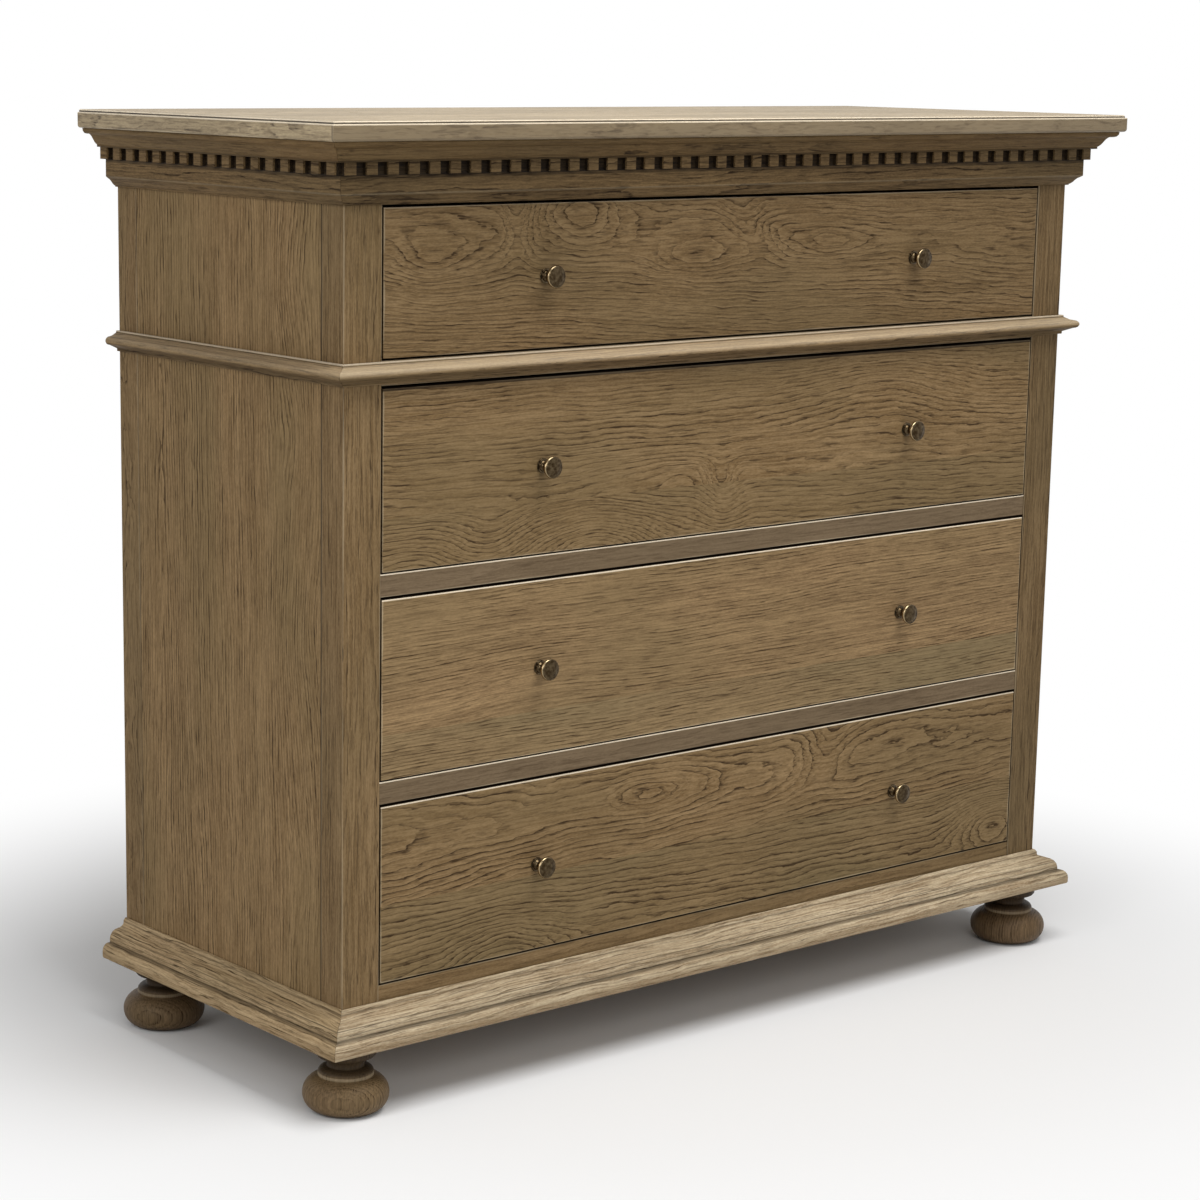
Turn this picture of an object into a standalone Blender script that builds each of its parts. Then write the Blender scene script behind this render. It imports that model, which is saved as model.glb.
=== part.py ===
"""A four-drawer oak tallboy with a dentil cornice, a waist moulding, a moulded base and bun feet.

Metres. X runs along the front, Y towards the back and Z up from the floor.
Every joint is cut from the size of the piece that it holds, with one named seat between them.
"""
import math

import bmesh
import bpy
from mathutils import Matrix, Vector

# Case
case_width = 1.1000
case_depth = 0.4300
post_width = 0.0485
front_post_depth = 0.0384
rear_post_depth = 0.0377
panel_thickness = 0.0180
tongue_thickness = 0.0080
tongue_length = 0.0090
tongue_short = 0.0050
back_thickness = 0.0090
back_rebate = 0.0200
back_sink = 0.0010
bottom_thickness = 0.0180

# Fit: the seat between two pieces that touch, how far a cutter runs past its work, and the
# distance within which two corners of a mesh are one
seat = 0.0003
overrun = 0.0040
weld = 0.00001
mitre_seat = seat / math.sqrt(2)

# Top
top_overhang = 0.0505
top_thickness = 0.0202
top_arris = 0.0032
top_shoulder = 0.0010
ledge_width = 0.0022
ledge_drop = 0.0030

# Cornice
moulding_height = 0.0208
moulding_foot = 0.0262
moulding_foot_rise = 0.0026
moulding_shelf = 0.0364
moulding_shelf_height = 0.0146
moulding_ovolo_start = 0.0398
moulding_ovolo = 0.0050
dentil_foot = 0.0311
dentil_width = 0.0133
dentil_pitch = 0.02665
dentil_face = 0.0220
dentil_lead = 0.0082
dentil_tail = 0.0020
notch_lip = 0.0002
frieze_height = 0.0440
frieze_face = 0.0150
frieze_toe = 0.0030
frieze_toe_rise = 0.0010
frieze_curve_out = 0.0124
frieze_curve_top = 0.0096
frieze_arris_rise = 0.0116

# Waist
waist_height = 0.0233
waist_foot = 0.0036
waist_foot_height = 0.0030
waist_nose_centre = 0.0133
waist_nose_reach = 0.0055
waist_nose_rise = 0.0049
waist_nose_height = 0.0123
waist_slope_foot = 0.0100
waist_slope_height = 0.0180
waist_head = 0.0044
waist_head_height = 0.0212

# Base
base_height = 0.0440
base_head = 0.0022
base_fillet = 0.0044
base_fillet_drop = 0.0030
base_cove_drop = 0.0050
base_cove_out = 0.0125
base_cove_fall = 0.0058
base_ovolo_out = 0.0236
base_ovolo_foot = 0.0215
base_quirk = 0.0178
base_torus_in = 0.0262
base_torus_out = 0.0337
base_torus_centre = 0.0085
base_toe_round = 0.0025

# Foot
foot_height = 0.0760
foot_inset = 0.0196
rear_foot_inset = 0.0489
foot_bun_radius = 0.0472
foot_bun_core = 0.0280
foot_bun_height = 0.0392
foot_ring_radius = 0.0304
foot_ring_height = 0.0038
foot_neck_radius = 0.0205
foot_shoulder_height = 0.0068
foot_neck_height = 0.0030
foot_flare_radius = 0.0312
foot_flare_height = 0.0088
foot_pad_radius = 0.0330
foot_pad_rise = 0.0020
spigot_radius = 0.0110
spigot_length = 0.0140

# Rails and drawer openings, with the drawer heights from the top drawer down
drawer_heights = (0.1545, 0.1924, 0.1940, 0.1946)
gap_below_drawer = 0.0020
gap_above_drawer = 0.0031
gap_beside_drawer = 0.0023
bottom_rail_reveal = 0.0175
divider_height = 0.0245
waist_rail_height = 0.0262
waist_rail_cover = 0.0007
rail_set_back = 0.0008
tenon_thickness = 0.0120
tenon_length = 0.0200

# Drawer boxes
front_thickness = 0.0200
side_thickness = 0.0120
box_back_thickness = 0.0120
side_drop = 0.0080
tail_length = 0.0130
tail_pitch = 0.0460
tail_tip_share = 0.66
tail_root_share = 0.46
box_bottom_thickness = 0.0060
box_bottom_height = 0.0100
box_groove = 0.0055
housing_depth = 0.0055
back_set = 0.0060
home_clearance = 0.0010

# Runners, guides and kickers
runner_ledge = 0.0060
guide_height = 0.0300
guide_short = 0.0040
guide_clearance = 0.0010
kicker_clearance = 0.0030
kicker_height = 0.0240

# Knobs
knob_spread = 0.2835
knob_head_radius = 0.0123
knob_rim = 0.0024
knob_crown = 0.0010
knob_head_height = 0.0178
knob_under = 0.0030
knob_neck_radius = 0.0038
knob_neck_height = 0.0075
knob_rose_radius = 0.0082
knob_rose_height = 0.0014
knob_collar_radius = 0.0062
knob_collar_height = 0.0030
knob_stud_radius = 0.0024
stud_short = 0.0010

# Facets to a turn
foot_sides = 24
knob_sides = 14
spigot_sides = 16

# Colours, in linear values
oak = (0.190, 0.130, 0.070, 1.0)
oak_shaded = (0.120, 0.085, 0.050, 1.0)
oak_inside = (0.300, 0.220, 0.130, 1.0)
antique_brass = (0.230, 0.165, 0.085, 1.0)
oak_roughness = 0.65
brass_roughness = 0.38

# Places worked out from the sizes above
half_width = case_width / 2
case_back = (case_depth + top_overhang) / 2
case_front = case_back - case_depth
base_bottom = foot_height + seat
base_top = base_bottom + base_height
bottom_top = base_bottom + bottom_thickness
bottom_rail_top = base_top + bottom_rail_reveal
opening_half = half_width - post_width
drawer_half = opening_half - gap_beside_drawer
back_face = case_back - back_sink - back_thickness
box_depth = back_face - home_clearance - case_front


def drawer_levels():
    """The bottom of each drawer front, from the top drawer down, and the tops of the rails."""
    bottoms = []
    rail_top = bottom_rail_top
    rail_tops = [rail_top]
    rails_above = (divider_height, divider_height, waist_rail_height, 0)
    for height, rail in zip(reversed(drawer_heights), rails_above):
        bottoms.append(rail_top + gap_below_drawer)
        rail_top = bottoms[-1] + height + gap_above_drawer + rail
        rail_tops.append(rail_top)
    return bottoms[::-1], rail_tops


drawer_bottoms, rail_tops = drawer_levels()
frieze_bottom = rail_tops[-1]
moulding_bottom = frieze_bottom + frieze_height + seat
case_top = moulding_bottom + moulding_height
top_bottom = case_top + seat
waist_bottom = rail_tops[3] - waist_rail_cover - waist_height

for old in list(bpy.data.objects):
    bpy.data.objects.remove(old)
pieces = bpy.data.collections.new("tallboy")
cutters = bpy.data.collections.new("cutters")
bpy.context.scene.collection.children.link(pieces)
bpy.context.scene.collection.children.link(cutters)

QUARTER = math.pi / 2
PLAN_TURN = (0, 0, 0)
SIDE_TURN = (QUARTER, 0, QUARTER)
KNOB_TURN = (QUARTER, 0, 0)


def finish(name, color, roughness, metallic=0):
    """A material for one piece."""
    material = bpy.data.materials.new(name)
    material.use_nodes = True
    shader = material.node_tree.nodes["Principled BSDF"]
    shader.inputs["Base Color"].default_value = color
    shader.inputs["Roughness"].default_value = roughness
    shader.inputs["Metallic"].default_value = metallic
    return material


def place(name, mesh, color=None, at=(0, 0, 0), turn=PLAN_TURN, parent=None):
    """Link a mesh as a named piece, or as a cutter when it has no colour."""
    obj = bpy.data.objects.new(name, mesh)
    obj.location = at
    obj.rotation_euler = turn
    obj.parent = parent
    if color is None:
        cutters.objects.link(obj)
        obj.hide_render = True
        obj.display_type = "WIRE"
        return obj
    metal = color is antique_brass
    mesh.materials.clear()
    mesh.materials.append(finish(name, color, brass_roughness if metal else oak_roughness, int(metal)))
    pieces.objects.link(obj)
    return obj


def boxes_mesh(name, spans):
    """One mesh of separate boxes, each given by its low and high corners."""
    bm = bmesh.new()
    for low, high in spans:
        low, high = Vector(low), Vector(high)
        size = Matrix.Diagonal((*(high - low), 1))
        bmesh.ops.create_cube(bm, size=1, matrix=Matrix.Translation((low + high) / 2) @ size)
    mesh = bpy.data.meshes.new(name)
    bm.to_mesh(mesh)
    bm.free()
    return mesh


def box(name, low, high, color=None, parent=None):
    """A board with square edges."""
    return place(name, boxes_mesh(name, [(low, high)]), color, parent=parent)


def prism_mesh(name, outlines, thickness):
    """Flat outlines given a thickness about their own plane, as one closed mesh."""
    curve = bpy.data.curves.new(name, "CURVE")
    curve.dimensions = "2D"
    curve.fill_mode = "BOTH"
    curve.extrude = thickness / 2
    for outline in outlines:
        spline = curve.splines.new("POLY")
        spline.points.add(len(outline) - 1)
        for point, (x, y) in zip(spline.points, outline):
            point.co = (x, y, 0, 1)
        spline.use_cyclic_u = True
    holder = bpy.data.objects.new(name, curve)
    mesh = bpy.data.meshes.new_from_object(holder)
    bpy.data.objects.remove(holder)
    bm = bmesh.new()
    bm.from_mesh(mesh)
    bmesh.ops.remove_doubles(bm, verts=bm.verts, dist=weld)
    bmesh.ops.recalc_face_normals(bm, faces=bm.faces)
    bm.to_mesh(mesh)
    bm.free()
    mesh.name = name
    return mesh


def cut(obj, cutter):
    """Take the cutter out of the piece."""
    modifier = obj.modifiers.new(cutter.name, "BOOLEAN")
    modifier.operation = "DIFFERENCE"
    modifier.solver = "EXACT"
    modifier.object = cutter


def join(obj, other):
    """Make the piece one body with the other."""
    modifier = obj.modifiers.new(other.name, "BOOLEAN")
    modifier.operation = "UNION"
    modifier.solver = "EXACT"
    modifier.object = other


def rod_mesh(name, radius, length, sides):
    """A round bar about the middle of its own Z axis."""
    bm = bmesh.new()
    bmesh.ops.create_cone(bm, cap_ends=True, segments=sides, radius1=radius, radius2=radius, depth=length)
    mesh = bpy.data.meshes.new(name)
    bm.to_mesh(mesh)
    bm.free()
    return mesh


def arc(centre, reach, start, end, steps):
    """Points along an elliptical arc; the angles are in quarter turns."""
    points = []
    for step in range(steps + 1):
        angle = (start + (end - start) * step / steps) * QUARTER
        points.append((centre[0] + reach[0] * math.cos(angle), centre[1] + reach[1] * math.sin(angle)))
    return points


def cyma(start, end, steps, bend_share=0.5):
    """Points along a double curve that is shallow at both ends and steep in the middle."""
    points = []
    for step in range(steps + 1):
        share = step / steps
        lift = share - bend_share * math.sin(2 * math.pi * share) / (2 * math.pi)
        points.append((start[0] + (end[0] - start[0]) * share, start[1] + (end[1] - start[1]) * lift))
    return points


def mirrored(outline):
    """The same outline for the other hand."""
    return [(-x, y) for x, y in reversed(outline)]


def turned(name, profile, sides, color, at, turn=PLAN_TURN, parent=None):
    """A piece turned on a lathe, from its profile at +X, top to bottom."""
    mesh = bpy.data.meshes.new(name)
    edges = [(i, i + 1) for i in range(len(profile) - 1)]
    mesh.from_pydata([(radius, 0, height) for radius, height in profile], edges, [])
    obj = place(name, mesh, color, at, turn, parent)
    screw = obj.modifiers.new("turning", "SCREW")
    screw.steps = sides
    screw.render_steps = sides
    screw.use_merge_vertices = True
    screw.merge_threshold = weld
    screw.use_smooth_shade = True
    return obj


# Each course of moulding is three lengths that meet in mitres at the two front corners


def course(name, outline, height, color=oak):
    """Three lengths of one outline, given as distances out from the case and up from its foot."""
    lengths = {}
    for side, turn in (("front", -QUARTER), ("left", math.pi), ("right", 0)):
        mesh = prism_mesh(f"{name}_{side}", [outline], case_width)
        for vertex in mesh.vertices:
            reach = vertex.co.x - mitre_seat
            if side == "front":
                vertex.co.z = math.copysign(half_width + reach, vertex.co.z)
            elif vertex.co.z * math.cos(turn) > 0:
                vertex.co.z = (case_depth + reach) * math.cos(turn)
            else:
                vertex.co.z = 0
        foot = {"front": (0, case_front), "left": (-half_width, case_back), "right": (half_width, case_back)}
        lengths[side] = place(f"{name}_{side}", mesh, color, (*foot[side], height), (QUARTER, 0, turn))
    return lengths


def cornice_outline():
    """A flat foot, a double curve, a shelf and an ovolo under the top."""
    foot_top = (moulding_foot, moulding_foot_rise)
    shelf = (moulding_shelf, moulding_shelf_height)
    rise = moulding_height - moulding_shelf_height
    ovolo_centre = (moulding_ovolo_start, moulding_height)
    points = [(seat, 0), (moulding_foot, 0)]
    points += cyma(foot_top, shelf, 6)
    points += arc(ovolo_centre, (moulding_ovolo, rise), -1, 0, 3)
    return points + [(seat, moulding_height)]


def frieze_outline():
    """A flat board, its lower edge swept in to the case, under a band left proud for the dentils."""
    points = [(seat, 0), (frieze_toe, 0)]
    points += cyma((frieze_toe, frieze_toe_rise), (frieze_curve_out, frieze_curve_top), 5)
    points += [(frieze_face, frieze_arris_rise), (frieze_face, dentil_foot), (dentil_face, dentil_foot)]
    return points + [(dentil_face, frieze_height), (seat, frieze_height)]


def waist_outline():
    """A rounded nose between a fillet below and a weathered slope above."""
    nose = (waist_nose_centre, waist_nose_height)
    points = [(seat, 0), (waist_foot, 0), (waist_foot, waist_foot_height)]
    points += arc(nose, (waist_nose_reach, waist_nose_rise), -1, 1, 7)
    points += [(waist_slope_foot, waist_slope_height), (waist_head, waist_head_height)]
    return points + [(waist_head, waist_height), (seat, waist_height)]


def base_outline():
    """A torus at the foot, a quirk, an ovolo and a cove up to the case."""
    toe_centre = (base_torus_out - base_toe_round, base_toe_round)
    torus_centre = (base_torus_in, base_torus_centre)
    torus_reach = (base_torus_out - base_torus_in, base_quirk - base_torus_centre)
    ovolo_top = base_height - base_cove_drop - base_cove_fall
    ovolo_centre = (base_cove_out, base_ovolo_foot)
    ovolo_reach = (base_ovolo_out - base_cove_out, ovolo_top - base_ovolo_foot)
    cove_centre = (base_cove_out, base_height - base_cove_drop)
    cove_reach = (base_cove_out - base_fillet, base_cove_fall)
    points = [(seat, 0)]
    points += arc(toe_centre, (base_toe_round, base_toe_round), -1, 0, 2)
    points += arc(torus_centre, torus_reach, 0, 1, 4)
    points += [(base_ovolo_out, base_quirk)]
    points += arc(ovolo_centre, ovolo_reach, 0, 1, 4)
    points += arc(cove_centre, cove_reach, 3, 2, 4)[1:]
    points += [(base_fillet, base_height - base_fillet_drop), (base_head, base_height)]
    return points + [(seat, base_height)]


course("cornice_moulding", cornice_outline(), moulding_bottom)
course("waist_moulding", waist_outline(), waist_bottom)
course("base_moulding", base_outline(), base_bottom)
frieze = course("frieze", frieze_outline(), frieze_bottom)


# Dentils: blocks left standing between notches that are cut down nearly to the face of the frieze


def notches(starts, end):
    """The spans between blocks that begin at the given places, and the open ends beyond them."""
    edges = [starts[0] - 2 * dentil_lead]
    for start in starts:
        edges += [start, start + dentil_width]
    edges.append(end)
    return list(zip(edges[::2], edges[1::2]))


notch_floor = frieze_face + notch_lip
notch_low = frieze_bottom + dentil_foot - overrun
notch_high = frieze_bottom + frieze_height + overrun
notch_mouth = dentil_face + overrun

left_end = -half_width - dentil_face + dentil_lead
front_run = half_width + dentil_face - dentil_tail - dentil_width - left_end
front_starts = [left_end + step * dentil_pitch for step in range(int(front_run / dentil_pitch) + 1)]
front_notches = [
    ((low, case_front - notch_mouth, notch_low), (high, case_front - notch_floor, notch_high))
    for low, high in notches(front_starts, half_width + notch_mouth)
]
cut(frieze["front"], place("frieze_front_notches", boxes_mesh("front_notches", front_notches)))

side_end = case_front - dentil_face + dentil_lead
side_run = case_back - dentil_width - side_end
side_count = round(side_run / dentil_pitch)
side_starts = [side_end + side_run * step / side_count for step in range(side_count + 1)]
for side, hand in (("right", 1), ("left", -1)):
    floor, mouth = sorted((hand * (half_width + notch_floor), hand * (half_width + notch_mouth)))
    side_notches = [
        ((floor, low, notch_low), (mouth, high, notch_high))
        for low, high in notches(side_starts, case_back)[:-1]
    ]
    cut(frieze[side], place(f"frieze_{side}_notches", boxes_mesh("side_notches", side_notches)))


# The top is one board, raised ring by ring up the moulded edge of its front and sides


def top_edge():
    """The edge of the top: a rounded lower arris, a flat face, a small ledge and a crown."""
    ledge = top_overhang - ledge_width
    ledge_height = top_thickness - ledge_drop
    crown = ledge_drop / 2
    shoulder_centre = (top_overhang - top_shoulder, ledge_height - top_shoulder)
    points = arc((top_overhang - top_arris, top_arris), (top_arris, top_arris), -1, 0, 3)
    points += arc(shoulder_centre, (top_shoulder, top_shoulder), 0, 1, 2)
    points += [(ledge, ledge_height)]
    return points + arc((ledge - crown, top_thickness - crown), (crown, crown), 0, 1, 3)


def moulded_board(name, edge):
    """A board that is extruded upwards, its front and sides following the edge and its back upright."""
    bm = bmesh.new()
    bottom = bmesh.ops.create_grid(bm, x_segments=1, y_segments=1, size=half_width)["verts"][0].link_faces[0]
    face = bottom
    for reach, height in edge:
        if (reach, height) != edge[0]:
            below = face
            raised = bmesh.ops.extrude_face_region(bm, geom=[below])["geom"]
            face = next(item for item in raised if isinstance(item, bmesh.types.BMFace))
            if below is not bottom:
                bmesh.ops.delete(bm, geom=[below], context="FACES_ONLY")
        for vertex in face.verts:
            vertex.co.x = math.copysign(half_width + reach, vertex.co.x)
            vertex.co.y = case_back if vertex.co.y > 0 else case_front - reach
            vertex.co.z = top_bottom + height
    bmesh.ops.recalc_face_normals(bm, faces=bm.faces)
    mesh = bpy.data.meshes.new(name)
    bm.to_mesh(mesh)
    bm.free()
    return place(name, mesh, oak)


moulded_board("top_board", top_edge())


# Posts and back: the posts are grooved for the side panels and rebated for the back


def standing(name, outline, color=oak):
    """A piece of one plan from the bottom board to the top."""
    low = bottom_top + seat
    mesh = prism_mesh(name, [outline], case_top - low)
    return place(name, mesh, color, (0, 0, (low + case_top) / 2))


front_shoulder = case_front + front_post_depth
rear_shoulder = case_back - rear_post_depth
tongue_outer = half_width - (panel_thickness - tongue_thickness) / 2
tongue_inner = tongue_outer - tongue_thickness
groove_outer = tongue_outer + seat
groove_inner = tongue_inner - seat
groove_depth = tongue_length + seat
panel_inner = half_width - panel_thickness
panel_front = front_shoulder + seat
panel_rear = rear_shoulder - seat
rebate_inner = opening_half + back_rebate
rebate_front = back_face - seat

front_post_plan = [
    (opening_half, case_front),
    (half_width, case_front),
    (half_width, front_shoulder),
    (groove_outer, front_shoulder),
    (groove_outer, front_shoulder - groove_depth),
    (groove_inner, front_shoulder - groove_depth),
    (groove_inner, front_shoulder),
    (opening_half, front_shoulder),
]
rear_post_plan = [
    (opening_half, rear_shoulder),
    (groove_inner, rear_shoulder),
    (groove_inner, rear_shoulder + groove_depth),
    (groove_outer, rear_shoulder + groove_depth),
    (groove_outer, rear_shoulder),
    (half_width, rear_shoulder),
    (half_width, case_back),
    (rebate_inner, case_back),
    (rebate_inner, rebate_front),
    (opening_half, rebate_front),
]
front_posts = {}
for side, handed in (("right", list), ("left", mirrored)):
    front_posts[side] = standing(f"post_front_{side}", handed(front_post_plan))
    standing(f"post_rear_{side}", handed(rear_post_plan))

back_half = rebate_inner - seat
back_low = (-back_half, back_face, bottom_top + seat)
box("back_panel", back_low, (back_half, back_face + back_thickness, case_top), oak_inside)


# Rails between the front posts, tenoned into them; all but the top one carry the runners behind them

rail_front = case_front + rail_set_back
rail_back = case_front + front_post_depth
tenon_front = (rail_front + rail_back - tenon_thickness) / 2
tenon_back = tenon_front + tenon_thickness
shoulder = opening_half - seat
tenon_end = opening_half + tenon_length
runner_inner = drawer_half - side_thickness - runner_ledge
runner_outer = panel_inner - seat
tenon_plan = [
    (shoulder, rail_front),
    (shoulder, tenon_front),
    (tenon_end, tenon_front),
    (tenon_end, tenon_back),
    (shoulder, tenon_back),
]
rail_plan = tenon_plan + [(shoulder, rail_back)]
frame_plan = tenon_plan + [
    (shoulder, panel_front),
    (runner_outer, panel_front),
    (runner_outer, panel_rear),
    (runner_inner, panel_rear),
    (runner_inner, rail_back),
]
rails = (
    ("bottom_rail_frame", frame_plan, bottom_top + seat, rail_tops[0]),
    ("lower_divider_frame", frame_plan, rail_tops[1] - divider_height, rail_tops[1]),
    ("upper_divider_frame", frame_plan, rail_tops[2] - divider_height, rail_tops[2]),
    ("waist_rail_frame", frame_plan, rail_tops[3] - waist_rail_height, rail_tops[3]),
    ("top_rail", rail_plan, frieze_bottom, case_top - seat),
)
mortises = []
for name, plan, low, high in rails:
    mesh = prism_mesh(name, [plan + mirrored(plan)], high - low)
    place(name, mesh, oak, (0, 0, (low + high) / 2))
    mortise_low = (opening_half - overrun, tenon_front - seat, low - seat)
    mortises.append((mortise_low, (tenon_end + seat, tenon_back + seat, high + seat)))


def handed_spans(spans, hand):
    """The same boxes on the right, or mirrored on the left."""
    turned_over = []
    for low, high in spans:
        near, far = sorted((low[0] * hand, high[0] * hand))
        turned_over.append(((near, *low[1:]), (far, *high[1:])))
    return turned_over


# Side panels are tongued into the posts and carry the guides that keep the drawers straight;
# kickers keep the top drawer from tipping

guide_inner = drawer_half + guide_clearance
side_tops = [bottom + height - side_drop for bottom, height in zip(drawer_bottoms, drawer_heights)]
kicker_low = side_tops[0] + kicker_clearance
kicker_high = kicker_low + kicker_height
kicker_span = ((runner_inner, panel_front, kicker_low), (runner_outer, panel_rear, kicker_high))
panel_span = ((panel_inner, panel_front, bottom_top + seat), (half_width, panel_rear, case_top))
tongue_foot = (tongue_inner, panel_front - tongue_length, bottom_top + tongue_short)
tongue_head = (tongue_outer, panel_rear + tongue_length, case_top - tongue_short)
panel_parts = [(tongue_foot, tongue_head)]
for top in rail_tops[:-1]:
    guide_foot = (guide_inner, panel_front + guide_short, top + seat)
    guide_root = ((panel_inner + tongue_inner) / 2, panel_rear - guide_short, top + seat + guide_height)
    panel_parts.append((guide_foot, guide_root))
for side, hand in (("right", 1), ("left", -1)):
    cut(front_posts[side], place(f"mortises_{side}", boxes_mesh("mortises", handed_spans(mortises, hand))))
    panel = box(f"side_panel_{side}", *handed_spans([panel_span], hand)[0], oak)
    join(panel, place(f"guides_{side}", boxes_mesh("guides", handed_spans(panel_parts, hand))))
    box(f"kicker_{side}", *handed_spans([kicker_span], hand)[0], oak_inside)


# Bottom board on four turned feet, each with a spigot let up into it

board_low = (-half_width, case_front, base_bottom)
bottom_board = box("bottom_board", board_low, (half_width, case_back, bottom_top), oak_inside)
bun_middle = foot_bun_height / 2
bun_reach = (foot_bun_radius - foot_bun_core, bun_middle)
ring_top = foot_bun_height + foot_ring_height
neck_foot = ring_top + foot_shoulder_height
neck_top = neck_foot + foot_neck_height
flare_top = neck_top + foot_flare_height
shoulder_reach = (foot_ring_radius - foot_neck_radius, foot_shoulder_height)
flare_reach = (foot_flare_radius - foot_neck_radius, foot_flare_height)
ring_turn = math.acos((foot_ring_radius - foot_bun_core) / bun_reach[0]) / QUARTER
foot_profile = [(0, foot_height + spigot_length), (spigot_radius, foot_height + spigot_length)]
foot_profile += [(spigot_radius, foot_height), (foot_pad_radius, foot_height)]
foot_profile += [(foot_pad_radius, flare_top + foot_pad_rise), (foot_flare_radius, flare_top)]
foot_profile += arc((foot_flare_radius, neck_top), flare_reach, 1, 2, 3)[1:]
foot_profile += [(foot_neck_radius, neck_foot)]
foot_profile += arc((foot_neck_radius, ring_top), shoulder_reach, 1, 0, 3)[1:]
foot_profile += arc((foot_bun_core, bun_middle), bun_reach, ring_turn, -1, 8)
foot_profile += [(0, 0)]

hole_depth = spigot_length + seat + overrun
for end, y in (("front", case_front + foot_inset), ("rear", case_back - rear_foot_inset)):
    for side, x in (("left", foot_inset - half_width), ("right", half_width - foot_inset)):
        turned(f"foot_{end}_{side}", foot_profile, foot_sides, oak_shaded, (x, y, 0))
        hole = rod_mesh("spigot_hole", spigot_radius + 2 * seat, hole_depth, spigot_sides)
        middle = (x, y, base_bottom - overrun + hole_depth / 2)
        cut(bottom_board, place(f"spigot_hole_{end}_{side}", hole, at=middle))


# Knobs: a rose, a waisted neck and a flat head, with a stud through the drawer front

knob_tip = knob_head_height + knob_rim
stud_end = stud_short - front_thickness
knob_face = knob_head_radius - knob_rim
knob_profile = [(0, knob_tip + knob_crown), (knob_face / 2, knob_tip + 3 * knob_crown / 4)]
knob_profile += arc((knob_face, knob_head_height), (knob_rim, knob_rim), 1, -1, 3)
knob_profile += [
    (2 * knob_neck_radius, knob_head_height - knob_rim - knob_under / 2),
    (knob_neck_radius, knob_neck_height + knob_under),
    (knob_neck_radius, knob_neck_height),
    (knob_collar_radius, knob_collar_height),
    (knob_collar_radius, knob_rose_height),
    (knob_rose_radius, knob_rose_height),
    (knob_rose_radius, seat),
    (knob_stud_radius, seat),
    (knob_stud_radius, stud_end),
    (0, stud_end),
]


# Drawers: half-blind dovetails at the front, a housed back and a bottom slid into grooves


def tail_spans(height, side_top):
    """The middle, root and tip width of each tail, from the bottom up."""
    count = max(2, round(height / tail_pitch))
    pitch = side_top / count
    root, tip = tail_root_share * pitch, tail_tip_share * pitch
    return [((index + 1 / 2) * pitch, root, tip) for index in range(count)]


def side_outline(height, side_top, side_bottom):
    """A drawer side in its own plane, its tails to the front."""
    root_line = front_thickness + seat
    tip_line = front_thickness - tail_length
    points = [(box_depth, side_top), (box_depth, side_bottom), (root_line, side_bottom)]
    for middle, root, tip in tail_spans(height, side_top):
        points += [(root_line, middle - root / 2), (tip_line, middle - tip / 2)]
        points += [(tip_line, middle + tip / 2), (root_line, middle + root / 2)]
    return points + [(root_line, side_top)]


def socket_outlines(height, side_top):
    """The sockets for the tails: each tail with a seat around it, run out past the inner face."""
    tip_line = front_thickness - tail_length - seat
    mouth_line = front_thickness + overrun
    outlines = []
    for middle, root, tip in tail_spans(height, side_top):
        slope = (tip - root) / 2 / (tail_length + seat)
        tip_half = tip / 2 + slope * seat + 2 * seat
        mouth_half = tip_half - slope * (mouth_line - tip_line)
        outlines.append([
            (tip_line, middle - tip_half),
            (mouth_line, middle - mouth_half),
            (mouth_line, middle + mouth_half),
            (tip_line, middle + tip_half),
        ])
    return outlines


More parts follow.
